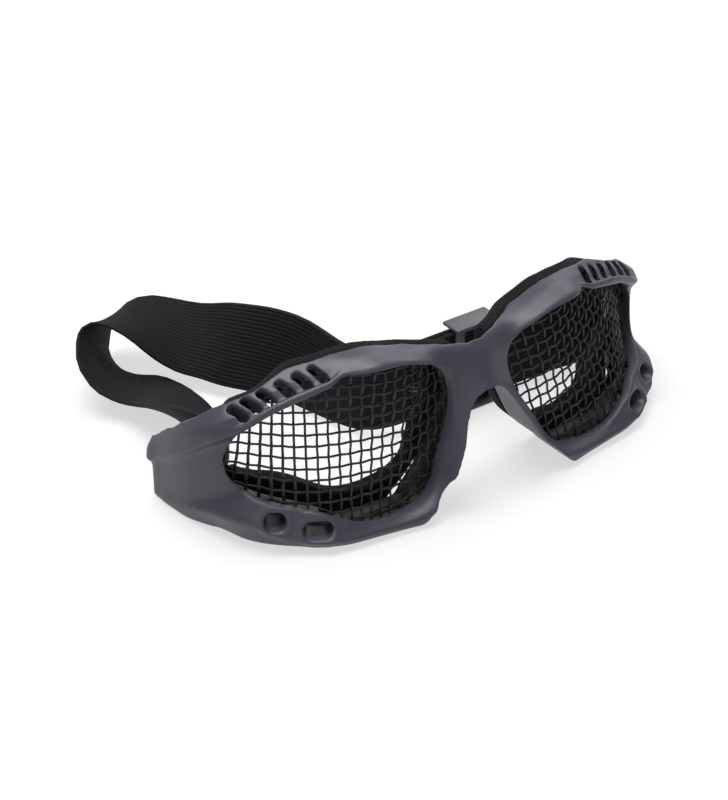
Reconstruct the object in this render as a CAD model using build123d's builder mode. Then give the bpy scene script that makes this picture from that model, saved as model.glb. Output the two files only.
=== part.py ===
from build123d import *

import os
from math import cos, radians, sin, sqrt

# Mesh safety goggles: a soft moulded wrap-round frame with two woven wire lenses,
# a foam liner round each eye cup, and an elastic strap with a sliding adjuster.
# X runs from the wearer's right to left, -Y is the front, Z is up from the table.
# The goggles stand on the lower rails and on the lower edges of the temple ends.

# Driving dimensions
half_width = 77.0
wrap_depth = 43.0
frame_height = 48.4
cup_depth = 13.0
rim_wall = 2.4
front_wall = 5.8
cavity_step = 1.0
bridge_half = 5.5

wire = 0.8
wire_pitch = 3.4
lens_recess = 3.0
lens_overrun = 5.0
groove_depth = 1.0
groove_clearance = 0.1

vent_width = 2.4
vent_length = 7.0
vent_depth = 6.0
vent_lean = 0.29
vent_slope = 0.32
vent_tip = 0.30
lower_vent_width = 4.2
lower_vent_length = 8.0
outer_vent_length = 6.0
lower_vent_depth = 16.0

foam_thickness = 5.0
foam_step = 0.8
foam_bevel = 1.2
foam_margin = 2.6
foam_clearance = 0.3

strap_width = 25.0
strap_thickness = 1.6
strap_lift = 1.8
strap_clearance = 0.3
strap_gap = 0.4

post_across = 68.0
post_back = 29.5
post_diameter = 3.4
lug_width = 5.0
lug_reach = 6.0
lug_height = 1.5
run_start = -4.0
run_end = 46.0
tail_end = 3.0

slider_place = 22.0
slider_bar = 2.6
slider_slot = 3.6
slider_thickness = 1.6
slider_rail = 1.2

# The plane of the nose lies this far in front of the origin
set_back = 51.5

# The rails are cut flat this far up, for the goggles to stand on
floor_trim = 0.3

# Each stretch between two stations is lofted in this many steps
loft_steps = 3
strap_steps = 4

# Stations of the frame from the nose to the temple end: the place of each on the plan
# as shares of half_width and wrap_depth, and the angle that its outward normal has
# turned from the front
station_shares = [
    ((0.000, 0.000), 0),
    ((0.130, 0.000), 0),
    ((0.260, 0.000), 0),
    ((0.415, 0.000), 4),
    ((0.585, 0.000), 16),
    ((0.740, 0.105), 30),
    ((0.857, 0.256), 43),
    ((0.935, 0.442), 60),
    ((0.987, 0.698), 78),
    ((1.000, 1.000), 86),
]

# Outer profile at each station, from the rear of the lower rail round the front to the
# rear of the brow: outward shares of cup_depth and upward shares of frame_height, for
# rear foot, toe, lip, lens foot, lens head, brow nose, brow crown and brow rear
profile_shares = [
    [
        (-0.15, 0.010), (1.12, 0.010), (0.65, 0.640), (0.50, 0.688),
        (0.35, 0.750), (0.23, 0.802), (0.10, 0.854), (-0.08, 0.892),
    ],
    [
        (-0.15, 0.010), (1.15, 0.010), (0.85, 0.433), (0.33, 0.567),
        (0.11, 0.725), (0.02, 0.808), (-0.15, 0.875), (-0.36, 0.904),
    ],
    [
        (-0.10, 0.010), (1.10, 0.020), (1.09, 0.125), (0.68, 0.204),
        (0.17, 0.890), (0.08, 0.917), (-0.31, 0.931), (-0.77, 0.917),
    ],
    [
        (-0.15, 0.000), (0.88, 0.020), (0.95, 0.070), (0.72, 0.092),
        (0.13, 0.942), (0.04, 0.970), (-0.38, 0.990), (-0.85, 0.968),
    ],
    [
        (-0.31, 0.000), (0.68, 0.020), (0.82, 0.075), (0.64, 0.108),
        (-0.32, 0.868), (-0.43, 0.896), (-0.70, 0.940), (-1.00, 0.968),
    ],
    [
        (-0.46, 0.000), (0.50, 0.030), (0.66, 0.100), (0.35, 0.240),
        (-0.28, 0.790), (-0.38, 0.822), (-0.64, 0.886), (-1.00, 0.936),
    ],
    [
        (-0.46, 0.000), (0.28, 0.030), (0.52, 0.188), (0.09, 0.308),
        (-0.21, 0.667), (0.02, 0.704), (-0.28, 0.788), (-0.62, 0.840),
    ],
    [
        (-0.46, 0.000), (-0.08, 0.010), (0.23, 0.160), (0.00, 0.229),
        (0.00, 0.563), (0.17, 0.594), (0.04, 0.688), (-0.40, 0.771),
    ],
    [
        (-0.27, 0.000), (-0.06, 0.000), (0.03, 0.090), (-0.04, 0.115),
        (-0.02, 0.388), (0.12, 0.417), (0.06, 0.521), (-0.20, 0.610),
    ],
    [
        (-0.25, 0.000), (-0.06, 0.000), (-0.02, 0.040), (-0.04, 0.052),
        (-0.04, 0.240), (0.10, 0.265), (0.08, 0.344), (-0.12, 0.421),
    ],
]

# Half outline of the nose arch seen from the front, from its crown down to the table:
# sideways shares of half_width and upward shares of frame_height
arch_shares = [
    (0.050, 0.622), (0.092, 0.545), (0.131, 0.433), (0.160, 0.340),
    (0.190, 0.256), (0.234, 0.183), (0.288, 0.100), (0.345, 0.000),
]
arch_crown_share = 0.650

# Outline of an eye opening seen from the front, the same shares, from the nose corner
# round the bottom, the outside and the top
eye_shares = [
    (0.129, 0.650), (0.139, 0.567), (0.164, 0.469), (0.199, 0.377), (0.235, 0.258), (0.288, 0.148),
    (0.412, 0.090), (0.560, 0.115), (0.720, 0.227), (0.815, 0.256), (0.878, 0.317), (0.905, 0.400),
    (0.908, 0.479), (0.878, 0.592), (0.776, 0.742), (0.668, 0.838), (0.542, 0.896), (0.426, 0.928),
    (0.322, 0.912), (0.224, 0.858), (0.160, 0.785),
]


# Centres of the brow vents as sideways and rearward shares on the plan, and the height
# that each is cut from
vent_shares = [
    (0.587, 0.108, 0.928), (0.642, 0.123, 0.905), (0.700, 0.140, 0.880),
    (0.761, 0.162, 0.845), (0.812, 0.181, 0.808), (0.857, 0.195, 0.771),
]

# The two vents of the lower rail, the same shares
lower_vent_shares = [(0.726, -0.079, 0.132), (0.829, 0.033, 0.182)]

# Strap stations from the right post round the loop, where the band turns half over, to the
# run behind the bridge: shares of half_width sideways and rearward and of strap_width
# upward for the edge nearer to the front and for the other edge
strap_shares = [
    ((-0.849, 0.370, 1.072), (-0.849, 0.370, 0.072)), ((-0.857, 0.546, 0.977), (-0.764, 0.463, 0.054)),
    ((-0.845, 0.690, 0.790), (-0.668, 0.568, 0.042)), ((-0.831, 0.809, 0.587), (-0.582, 0.701, 0.040)),
    ((-0.820, 0.906, 0.422), (-0.523, 0.865, 0.042)), ((-0.820, 0.987, 0.312), (-0.512, 1.047, 0.056)),
    ((-0.837, 1.056, 0.269), (-0.550, 1.195, 0.066)), ((-0.883, 1.124, 0.361), (-0.610, 1.263, 0.036)),
    ((-0.893, 1.222, 0.558), (-0.640, 1.329, 0.032)), ((-0.846, 1.301, 0.744), (-0.640, 1.402, 0.037)),
    ((-0.792, 1.335, 0.812), (-0.615, 1.495, 0.132)), ((-0.747, 1.282, 0.857), (-0.549, 1.510, 0.484)),
    ((-0.678, 1.219, 0.702), (-0.462, 1.461, 0.684)), ((-0.614, 1.167, 0.452), (-0.380, 1.380, 0.680)),
    ((-0.543, 1.116, 0.253), (-0.302, 1.291, 0.655)), ((-0.479, 1.050, 0.187), (-0.250, 1.182, 0.769)),
    ((-0.435, 0.965, 0.162), (-0.242, 1.061, 0.911)), ((-0.355, 0.873, 0.129), (-0.203, 0.941, 0.988)),
    ((-0.282, 0.778, 0.086), (-0.166, 0.815, 1.013)), ((-0.239, 0.667, 0.060), (-0.162, 0.686, 1.026)),
    ((-0.207, 0.547, 0.060), (-0.167, 0.563, 1.047)), ((-0.157, 0.439, 0.066), (-0.144, 0.451, 1.064)),
    ((-0.052, 0.396, 0.072), (-0.052, 0.396, 1.072)),
]


front_reach = wrap_depth + set_back
last_station = len(station_shares) - 1
lens_station = 7
cavity_station = 8
foam_station = 7
lower_vent_station = 5
mesh_thickness = 2 * wire
post_top = strap_lift + strap_width + strap_clearance + lug_height
run_centre = post_back - set_back
loop_inner = post_diameter / 2 + strap_clearance
loop_outer = loop_inner + strap_thickness
layer_offset = (strap_gap + strap_thickness) / 2
loop_offset = (loop_inner + loop_outer) / 2


def station_row(index):
    if index > last_station:
        nearer, end = station_row(last_station - 1), station_row(last_station)
        return [2 * there - here for here, there in zip(nearer, end)]
    (across, back), turn = station_shares[abs(index)]
    side = -1 if index < 0 else 1
    row = [side * across, back, side * turn]
    for out, up in profile_shares[abs(index)]:
        row += [out, up]
    return row


def even_slope(before, here, after):
    fall, rise = here - before, after - here
    return 2 * fall * rise / (fall + rise) if fall * rise > 0 else 0


def eased(before, start, end, after, share):
    leave, arrive = even_slope(before, start, end), even_slope(start, end, after)
    square, cube = share**2, share**3
    ease = 3 * square - 2 * cube
    return start + (end - start) * ease + leave * (cube - 2 * square + share) + arrive * (cube - square)


def row_at(position):
    index = min(int(position), last_station - 1)
    rows = [station_row(index + step) for step in (-1, 0, 1, 2)]
    return [eased(*values, position - index) for values in zip(*rows)]


def station_plane(position):
    across, back, turn = row_at(position)[:3]
    outward = (sin(radians(turn)), -cos(radians(turn)), 0)
    inboard = (-cos(radians(turn)), -sin(radians(turn)), 0)
    return Plane((across * half_width, back * wrap_depth - set_back, 0), x_dir=outward, z_dir=inboard)


def profile(position):
    shares = row_at(position)[3:]
    return [(out * cup_depth, up * frame_height - floor_trim) for out, up in zip(shares[::2], shares[1::2])]


def cavity_profile(position):
    foot, toe, lip, lens_foot, lens_head, nose, crown, rear = profile(position)
    floor = toe[1] + rim_wall
    roof = rear[1] - rim_wall
    behind = min(foot[0], rear[0]) - cup_depth
    inner_foot = (lens_foot[0] - front_wall, max(floor + cavity_step, lens_foot[1] - rim_wall))
    inner_head = (lens_head[0] - front_wall, min(lens_head[1], roof - cavity_step))
    inner_roof = (inner_head[0] - rim_wall, roof)
    return [(behind, floor), (inner_foot[0], floor), inner_foot, inner_head, inner_roof, (behind, roof)]


def lens_profile(position, recess, thickness):
    lens_foot, lens_head = profile(position)[3:5]
    lean = (lens_head[0] - lens_foot[0]) / (lens_head[1] - lens_foot[1])
    low = (lens_foot[0] - recess - lean * lens_overrun, lens_foot[1] - lens_overrun)
    high = (lens_head[0] - recess + lean * lens_overrun, lens_head[1] + lens_overrun)
    return [low, high, (high[0] - thickness, high[1]), (low[0] - thickness, low[1])]


def groove_profile(position):
    return lens_profile(position, lens_recess - groove_clearance, mesh_thickness + 2 * groove_clearance)


def sheet_profile(position):
    return lens_profile(position, lens_recess, mesh_thickness)


def window_profile(position):
    return lens_profile(position, -cup_depth, cup_depth + front_wall + rim_wall)


def foam_profile(position):
    foot, rear = profile(position)[0], profile(position)[-1]
    low, high = foot[1] + foam_step, rear[1] - foam_step
    seat_low, seat_high = foot[0] - foam_clearance, rear[0] - foam_clearance
    return [
        (seat_low, low), (seat_high, high),
        (seat_high - foam_thickness + foam_bevel, high), (seat_high - foam_thickness, high - foam_bevel),
        (seat_low - foam_thickness, low + foam_bevel), (seat_low - foam_thickness + foam_bevel, low),
    ]


def loft_between(first, last, outline):
    with BuildPart() as body:
        for step in range((last - first) * loft_steps + 1):
            position = first + step / loft_steps
            with BuildSketch(station_plane(position)):
                with BuildLine():
                    Polyline(*outline(position), close=True)
                make_face()
        loft()
    return body.part


def front_points(shares):
    return [(across * half_width, up * frame_height) for across, up in shares]


def outset(points, amount):
    moved = []
    for index, (across, up) in enumerate(points):
        before, after = points[index - 1], points[(index + 1) % len(points)]
        run, rise = after[0] - before[0], after[1] - before[1]
        span = sqrt(run**2 + rise**2)
        moved.append((across + rise / span * amount, up - run / span * amount))
    return moved


def eye_face(amount):
    with BuildSketch(Plane.XZ) as outline:
        with BuildLine():
            Spline(*outset(front_points(eye_shares), amount), periodic=True)
        make_face()
    return outline


def arch_face(amount):
    crown = [(0, arch_crown_share * frame_height + amount)]
    flank = [(across + amount, up) for across, up in front_points(arch_shares)]
    with BuildSketch(Plane.XZ) as outline:
        with BuildLine():
            side = Spline(*(crown + flank), tangents=[(1, 0), (1, -1)])
            Polyline(side @ 1, (0, 0), side @ 0)
        make_face()
    return outline


def from_front(outline):
    with BuildPart() as body:
        extrude(outline.sketch, amount=front_reach, dir=(0, 1, 0), both=True)
    return body.part


# Outlines seen from the front
arch_outline = arch_face(0)
eye_outline = eye_face(0)
lens_outline = eye_face(groove_depth)
groove_outline = eye_face(groove_depth + groove_clearance)
foam_outline = eye_face(-foam_margin)

with BuildSketch(Plane.XZ) as nose_outline:
    add(arch_face(rim_wall).sketch)
    with Locations((0, frame_height / 2)):
        Rectangle(2 * bridge_half, frame_height)

# Frame: one soft moulding, built as its left half and mirrored
with BuildPart() as cavity:
    add(loft_between(0, cavity_station, cavity_profile))
    add(from_front(nose_outline), mode=Mode.SUBTRACT)

with BuildPart() as groove:
    add(loft_between(0, lens_station, groove_profile))
    add(from_front(groove_outline), mode=Mode.INTERSECT)

with BuildPart() as window:
    add(loft_between(0, lens_station, window_profile))
    add(from_front(eye_outline), mode=Mode.INTERSECT)

with BuildPart() as vents:
    for across, back, up in vent_shares:
        centre = (across * half_width, back * half_width - set_back, up * frame_height)
        along = Vector(-vent_lean, -1, -vent_slope).normalized()
        upward = Vector(0, -vent_tip, 1)
        with BuildSketch(Plane(centre, x_dir=along, z_dir=upward - along * upward.dot(along))):
            SlotOverall(vent_length, vent_width)
        extrude(amount=vent_depth, both=True)
    for (across, back, up), length in zip(lower_vent_shares, (lower_vent_length, outer_vent_length)):
        centre = (across * half_width, back * half_width - set_back, up * frame_height)
        turn = radians(station_shares[lower_vent_station][1])
        with BuildSketch(Plane(centre, x_dir=(cos(turn), sin(turn), 0), z_dir=(sin(turn), -cos(turn), 0))):
            SlotOverall(length, lower_vent_width)
        extrude(amount=lower_vent_depth, both=True)

with BuildPart() as frame:
    add(loft_between(0, last_station, profile))
    add(cavity.part, mode=Mode.SUBTRACT)
    add(from_front(arch_outline), mode=Mode.SUBTRACT)
    add(window.part, mode=Mode.SUBTRACT)
    add(groove.part, mode=Mode.SUBTRACT)
    add(vents.part, mode=Mode.SUBTRACT)
    with Locations((post_across, run_centre)):
        Cylinder(post_diameter / 2, post_top, align=(Align.CENTER, Align.CENTER, Align.MIN))
    with Locations((post_across, run_centre, 0), (post_across, run_centre, post_top - lug_height)):
        Box(lug_reach, lug_width, lug_height, align=(Align.MIN, Align.CENTER, Align.MIN))
    mirror(about=Plane.YZ)
    split(bisect_by=Plane.XY, keep=Keep.TOP)

# Woven wire lenses: a curved sheet with square gaps, held in the groove
with BuildPart() as sheet:
    add(loft_between(0, lens_station, sheet_profile))
    add(from_front(lens_outline), mode=Mode.INTERSECT)

opening = eye_outline.sketch.faces()[0]
gap = wire_pitch - wire
gap_planes = []
column_place = station_plane(1).origin.X / 2
position = 0
while position < lens_station:
    column = station_plane(position)
    foot, head = profile(position)[3:5]
    middle = column.from_local_coords((foot[0], 0))
    if middle.X > column_place:
        column_place = middle.X + wire_pitch * cos(radians(row_at(position)[2]))
        for level in range(int(frame_height / wire_pitch)):
            height = (level + 0.5) * wire_pitch
            share = (height - foot[1]) / (head[1] - foot[1])
            centre = column.from_local_coords((foot[0] + (head[0] - foot[0]) * share - lens_recess, height))
            corners = [
                Vector(centre.X + side * gap / 2 * cos(radians(row_at(position)[2])), 0, height + end * gap / 2)
                for side in (-1, 1) for end in (-1, 1)
            ]
            if all(opening.is_inside(corner) for corner in corners):
                gap_planes.append(Plane(centre, x_dir=column.z_dir, z_dir=column.x_dir))
    position += 1 / (wire_pitch * frame_height)

with BuildPart() as lens_left:
    add(sheet.part)
    with Locations(*gap_planes):
        Box(gap, gap, 3 * mesh_thickness, mode=Mode.SUBTRACT)

with BuildPart() as lens_right:
    add(lens_left.part)
    mirror(about=Plane.YZ, mode=Mode.REPLACE)

# Foam liners: one soft ring behind each eye cup
with BuildPart() as foam_left:
    add(loft_between(0, foam_station, foam_profile))
    add(from_front(nose_outline), mode=Mode.SUBTRACT)
    add(from_front(foam_outline), mode=Mode.SUBTRACT)

with BuildPart() as foam_right:
    add(foam_left.part)
    mirror(about=Plane.YZ, mode=Mode.REPLACE)


# Strap: one elastic band round both posts, its end laid back through the slider
def strap_row(index):
    lower, upper = strap_shares[max(0, min(index, len(strap_shares) - 1))]
    return [*lower, *upper]


def curved(before, start, end, after, share):
    leave, arrive = (end - before) / 2, (after - start) / 2
    square, cube = share**2, share**3
    ease = 3 * square - 2 * cube
    return start + (end - start) * ease + leave * (cube - 2 * square + share) + arrive * (cube - square)


def strap_edges(position):
    position = max(0, min(position, len(strap_shares) - 1))
    index = min(int(position), len(strap_shares) - 2)
    rows = [strap_row(index + step) for step in (-1, 0, 1, 2)]
    row = [curved(*values, position - index) for values in zip(*rows)]
    return [
        Vector(across * half_width, back * half_width - set_back, up * strap_width)
        for across, back, up in (row[:3], row[3:])
    ]


def strap_plane(position):
    lower, upper = strap_edges(position)
    before, after = strap_edges(position - 1 / strap_steps), strap_edges(position + 1 / strap_steps)
    heading = after[0] + after[1] - before[0] - before[1]
    across = (upper - lower).normalized()
    return Plane((lower + upper) * 0.5, x_dir=across, z_dir=heading - across * heading.dot(across))


def layer_outline(start, side):
    run, loop = run_centre + side * layer_offset, run_centre + side * loop_offset
    half = strap_thickness / 2
    return [
        (start, run - half), (run_end, run - half), (post_across, loop - half),
        (post_across, loop + half), (run_end, run + half), (start, run + half),
    ]


with BuildPart() as strap:
    for step in range((len(strap_shares) - 1) * strap_steps + 1):
        with BuildSketch(strap_plane(step / strap_steps)):
            Rectangle(strap_width, strap_thickness)
    loft()
    with BuildSketch(Plane.XY.offset(strap_lift)):
        with Locations((-post_across, run_centre), (post_across, run_centre)):
            Circle(loop_outer)
        Polygon(*layer_outline(run_start, 1), align=None)
        Polygon(*layer_outline(tail_end, -1), align=None)
        with Locations((-post_across, run_centre), (post_across, run_centre)):
            Circle(loop_inner, mode=Mode.SUBTRACT)
    extrude(amount=strap_width)

# Slider: side bars in front of both layers, a centre bar behind, joined above and below
slider_length = 3 * slider_bar + 2 * slider_slot
slider_depth = 2 * (layer_offset + strap_thickness / 2 + strap_clearance + slider_thickness)
slider_height = strap_width + 2 * (strap_clearance + slider_rail)
slider_base = strap_lift - strap_clearance - slider_rail
bar_offset = slider_depth / 2 - slider_thickness / 2

with BuildPart() as slider:
    with Locations((slider_place, run_centre, slider_base)):
        Box(slider_length, slider_depth, slider_height, align=(Align.CENTER, Align.CENTER, Align.MIN))
    with Locations((slider_place, run_centre, strap_lift - strap_clearance)):
        Box(
            slider_length, slider_depth, strap_width + 2 * strap_clearance,
            align=(Align.CENTER, Align.CENTER, Align.MIN), mode=Mode.SUBTRACT,
        )
    side_place = (slider_length - slider_bar) / 2
    with Locations(
        (slider_place - side_place, run_centre - bar_offset, slider_base),
        (slider_place + side_place, run_centre - bar_offset, slider_base),
        (slider_place, run_centre + bar_offset, slider_base),
    ):
        Box(slider_bar, slider_thickness, slider_height, align=(Align.CENTER, Align.CENTER, Align.MIN))

os.makedirs("parts", exist_ok=True)

frame.part.label = "frame"
lens_left.part.label = "lens_mesh_left"
lens_right.part.label = "lens_mesh_right"
foam_left.part.label = "foam_left"
foam_right.part.label = "foam_right"
strap.part.label = "strap"
slider.part.label = "slider"

export_step(frame.part, "parts/frame.step")
export_step(lens_left.part, "parts/lens_mesh_left.step")
export_step(lens_right.part, "parts/lens_mesh_right.step")
export_step(foam_left.part, "parts/foam_left.step")
export_step(foam_right.part, "parts/foam_right.step")
export_step(strap.part, "parts/strap.step")
export_step(slider.part, "parts/slider.step")
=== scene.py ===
"""Mesh safety goggles on a pale table: a soft moulded frame, two woven wire lenses,
foam liners, an elastic strap with a half turn in its loop, and a sliding adjuster."""

import logging
import math
import random
from dataclasses import dataclass, field
from enum import Enum
from typing import Any

import bpy
import numpy as np
from mathutils import Matrix, Vector, noise


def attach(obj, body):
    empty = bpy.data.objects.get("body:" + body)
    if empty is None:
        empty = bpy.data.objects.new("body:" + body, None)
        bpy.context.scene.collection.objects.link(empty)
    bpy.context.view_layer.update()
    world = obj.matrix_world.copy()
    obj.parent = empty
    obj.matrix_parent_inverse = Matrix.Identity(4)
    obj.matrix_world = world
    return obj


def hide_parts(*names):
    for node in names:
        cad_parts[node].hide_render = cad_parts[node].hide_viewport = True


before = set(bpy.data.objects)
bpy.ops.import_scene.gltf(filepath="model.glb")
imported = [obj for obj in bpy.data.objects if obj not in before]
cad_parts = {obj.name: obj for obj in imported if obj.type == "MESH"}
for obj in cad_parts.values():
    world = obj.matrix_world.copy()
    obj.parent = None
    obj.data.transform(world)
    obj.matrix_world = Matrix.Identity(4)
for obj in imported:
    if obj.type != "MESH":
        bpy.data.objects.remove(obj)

LOG = logging.getLogger("goggles")
MM = 0.001

Points = tuple[tuple[float, float], ...]
Stations = tuple[tuple[tuple[float, float, float], tuple[float, float, float]], ...]


class Side(Enum):
    """The wearer's side that a piece belongs to; the value is the sign of its X."""

    LEFT = 1
    RIGHT = -1


class Run(Enum):
    """The way that a wire of the weave runs."""

    UPRIGHT = 0
    LEVEL = 1


# Small tools


def linear(colour: str) -> tuple[float, float, float, float]:
    """Turns an sRGB hex value into a linear colour.

    Args:
        colour: six hex digits after a hash sign.

    Returns:
        The linear red, green and blue, and an alpha of one.
    """
    parts = [int(colour[start:start + 2], 16) / 255 for start in (1, 3, 5)]
    even = [part / 12.92 if part <= 0.04045 else ((part + 0.055) / 1.055) ** 2.4 for part in parts]
    return (even[0], even[1], even[2], 1.0)


def add_node(tree: Any, kind: str, inputs: dict[Any, Any] | None = None, **settings: Any) -> Any:
    """Adds one shader node with its settings, values and incoming links.

    Args:
        tree: the node tree that the node goes into.
        kind: the node's type name.
        inputs: a value, or a socket to link from, for each input by name or number.
        settings: the node's own properties.

    Returns:
        The new node.
    """
    node = tree.nodes.new(kind)
    for name, value in settings.items():
        setattr(node, name, value)
    for socket, value in (inputs or {}).items():
        if isinstance(value, bpy.types.NodeSocket):
            tree.links.new(value, node.inputs[socket])
        else:
            node.inputs[socket].default_value = value
    return node


def blank_material(name: str) -> tuple[Any, Any]:
    """Makes a material with an empty node tree.

    Args:
        name: the material's name.

    Returns:
        The material and its tree.
    """
    material = bpy.data.materials.new(name)
    material.use_nodes = True
    material.node_tree.nodes.clear()
    return material, material.node_tree


def deselect() -> None:
    """Clears the selection, which the loaded frame leaves full."""
    if bpy.context.object and bpy.context.object.mode != "OBJECT":
        bpy.ops.object.mode_set(mode="OBJECT")
    bpy.ops.object.select_all(action="DESELECT")


def pick(*objects: Any) -> Any:
    """Selects these objects alone and makes the first one active.

    Args:
        objects: the objects to select.

    Returns:
        The active object.
    """
    deselect()
    for each in objects:
        each.select_set(True)
    bpy.context.view_layer.objects.active = objects[0]
    return objects[0]


def named(name: str) -> Any:
    """Names the active object and its mesh.

    Args:
        name: the piece's name.

    Returns:
        The active object.
    """
    piece = bpy.context.object
    piece.name = piece.data.name = name
    return piece


def positions(piece: Any) -> np.ndarray:
    """Reads a mesh's vertices.

    Args:
        piece: the object.

    Returns:
        One row of three metres for each vertex.
    """
    flat = np.empty(len(piece.data.vertices) * 3, np.float32)
    piece.data.vertices.foreach_get("co", flat)
    return flat.reshape(-1, 3).astype(np.float64)


def place(piece: Any, rows: np.ndarray) -> None:
    """Moves a mesh's vertices.

    Args:
        piece: the object.
        rows: one row of three metres for each vertex.
    """
    piece.data.vertices.foreach_set("co", np.ascontiguousarray(rows, np.float32).ravel())
    piece.data.update()


def settle(piece: Any) -> Any:
    """Puts a piece's place, turn and scale into its mesh.

    Args:
        piece: the object.

    Returns:
        The same object.
    """
    pick(piece)
    bpy.ops.object.transform_apply(location=True, rotation=True, scale=True)
    return piece


def joined(pieces: list[Any], name: str) -> Any:
    """Joins several meshes into one piece.

    Args:
        pieces: the objects to join.
        name: the name of the piece that comes of them.

    Returns:
        The joined object.
    """
    pick(*pieces)
    bpy.ops.object.join()
    return named(name)


def copied(piece: Any, name: str) -> Any:
    """Copies an object with its own mesh and none of its marks.

    Args:
        piece: the object to copy.
        name: the copy's name.

    Returns:
        The copy, linked to the scene.
    """
    twin = piece.copy()
    twin.data = piece.data.copy()
    twin.parent = None
    for key in list(twin.keys()):
        del twin[key]
    twin.name = twin.data.name = name
    bpy.context.scene.collection.objects.link(twin)
    return twin


def merged_copy(node: Any, name: str) -> Any:
    """Copies a CAD node and joins its loose triangles into one skin.

    Args:
        node: the CAD node, which is left alone.
        name: the copy's name.

    Returns:
        The copy.
    """
    twin = copied(node, name)
    pick(twin)
    bpy.ops.mesh.customdata_custom_splitnormals_clear()
    bpy.ops.object.mode_set(mode="EDIT")
    bpy.ops.mesh.select_all(action="SELECT")
    bpy.ops.mesh.remove_doubles(threshold=0.002 * MM)
    bpy.ops.object.mode_set(mode="OBJECT")
    twin.data.materials.clear()
    return twin


def outward(piece: Any) -> None:
    """Turns every face of a closed mesh outwards.

    Args:
        piece: the object.
    """
    pick(piece)
    bpy.ops.object.mode_set(mode="EDIT")
    bpy.ops.mesh.select_all(action="SELECT")
    bpy.ops.mesh.normals_make_consistent(inside=False)
    bpy.ops.object.mode_set(mode="OBJECT")


def apply_modifier(piece: Any, kind: str, **settings: Any) -> None:
    """Adds one modifier and applies it.

    Args:
        piece: the object.
        kind: the modifier's type name.
        settings: the modifier's own properties.
    """
    pick(piece)
    modifier = piece.modifiers.new(kind.lower(), kind)
    for name, value in settings.items():
        setattr(modifier, name, value)
    bpy.ops.object.modifier_apply(modifier=modifier.name)


def remeshed(piece: Any, voxel: float, passes: int) -> None:
    """Remeshes a closed skin evenly and rounds its edges, as a soft moulding has them.

    Args:
        piece: the object.
        voxel: the size of the new faces in metres.
        passes: how many times the skin is smoothed.
    """
    pick(piece)
    piece.data.remesh_voxel_size = voxel
    piece.data.remesh_voxel_adaptivity = 0
    bpy.ops.object.voxel_remesh()
    apply_modifier(piece, "SMOOTH", factor=0.5, iterations=passes)


def tube(name: str, facets: int, rings: int) -> Any:
    """Models a capped tube of unit radius along Z, with its rings one metre apart.

    Args:
        name: the tube's name.
        facets: how many corners each ring has.
        rings: how many rings it has.

    Returns:
        The tube, to be laid along a path ring by ring.
    """
    deselect()
    bpy.ops.mesh.primitive_cylinder_add(
        vertices=facets, radius=1, depth=rings - 1, location=(0, 0, (rings - 1) / 2),
    )
    piece = settle(named(name))
    pick(piece)
    bpy.ops.object.mode_set(mode="EDIT")
    bpy.ops.mesh.select_mode(type="EDGE")
    bpy.ops.mesh.select_all(action="DESELECT")
    bpy.ops.object.mode_set(mode="OBJECT")
    for edge in piece.data.edges:
        ends = [piece.data.vertices[end].co.z for end in edge.vertices]
        edge.select = abs(ends[0] - ends[1]) > 0.5
    bpy.ops.object.mode_set(mode="EDIT")
    bpy.ops.mesh.subdivide(number_cuts=rings - 2)
    bpy.ops.mesh.select_mode(type="VERT")
    bpy.ops.object.mode_set(mode="OBJECT")
    return piece


def rings_of(piece: Any) -> tuple[np.ndarray, np.ndarray]:
    """Reads which ring of an unlaid tube each vertex is in, and its angle round it.

    Args:
        piece: a tube, not laid yet.

    Returns:
        The ring numbers and the angles.
    """
    rows = positions(piece)
    return np.rint(rows[:, 2]).astype(int), np.arctan2(rows[:, 1], rows[:, 0])


def shade(piece: Any, angle: float = 180.0) -> None:
    """Shades a piece smooth.

    Args:
        piece: the object.
        angle: edges sharper than this many degrees stay sharp.
    """
    pick(piece)
    bpy.ops.object.shade_smooth_by_angle(angle=math.radians(angle))


def dress(piece: Any, finish: Any) -> None:
    """Gives a piece its material.

    Args:
        piece: the object.
        finish: the material.
    """
    piece.data.materials.clear()
    piece.data.materials.append(finish)


# Finishes


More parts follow.
